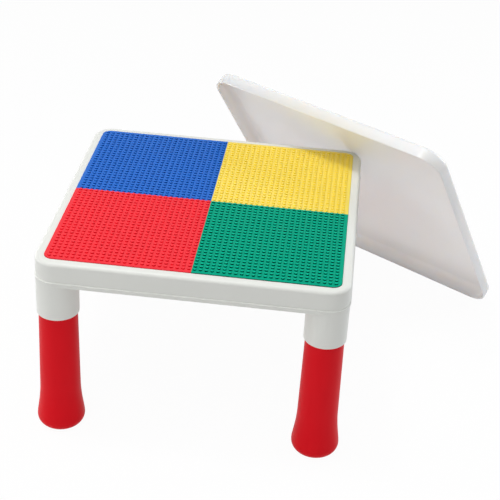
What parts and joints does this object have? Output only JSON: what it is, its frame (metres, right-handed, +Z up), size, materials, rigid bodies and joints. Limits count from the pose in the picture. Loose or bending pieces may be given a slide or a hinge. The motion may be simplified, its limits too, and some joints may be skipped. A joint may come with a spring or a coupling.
{
  "type": "play table",
  "caption": "Low square play table with studded building plates in a white moulded frame, flared plug-in legs and a lift-off tray lid leaning on its corner",
  "frame": {"origin": "middle of the table's footprint on the floor, midway between the four feet", "axes": "+Z up, +X to the right and +Y to the back, as seen by someone who sits at the red and green plates"},
  "size_m": [0.6857, 0.717, 0.3738],
  "materials": {
    "white_shell": "satin white moulding",
    "white_lid": "satin white moulding",
    "yellow_plate": "glossy studded plate",
    "blue_plate": "glossy studded plate",
    "red_plate": "glossy studded plate",
    "green_plate": "glossy studded plate",
    "red_leg": "satin red moulding",
    "screw_steel": "zinc plated"
  },
  "bodies": {
    "table": {"top_frame": "white_shell", "under_frame": "white_shell", "frame_screws": "screw_steel", "plate_yellow": "yellow_plate", "plate_blue": "blue_plate", "plate_red": "red_plate", "plate_green": "green_plate"},
    "lid": {"lid": "white_lid"},
    "leg_front_left": {"leg_front_left": "red_leg"},
    "leg_front_right": {"leg_front_right": "red_leg"},
    "leg_rear_left": {"leg_rear_left": "red_leg"},
    "leg_rear_right": {"leg_rear_right": "red_leg"}
  },
  "joints": [
    {"name": "lid_lift", "type": "slide", "parent": "table", "child": "lid", "axis": [0, 0, 1], "range_m": [0, 0.32]},
    {"name": "leg_front_left_pull", "type": "slide", "parent": "table", "child": "leg_front_left", "axis": [0, 0, -1], "range_m": [0, 0.064]},
    {"name": "leg_front_right_pull", "type": "slide", "parent": "table", "child": "leg_front_right", "axis": [0, 0, -1], "range_m": [0, 0.064]},
    {"name": "leg_rear_left_pull", "type": "slide", "parent": "table", "child": "leg_rear_left", "axis": [0, 0, -1], "range_m": [0, 0.064]},
    {"name": "leg_rear_right_pull", "type": "slide", "parent": "table", "child": "leg_rear_right", "axis": [0, 0, -1], "range_m": [0, 0.064]}
  ]
}
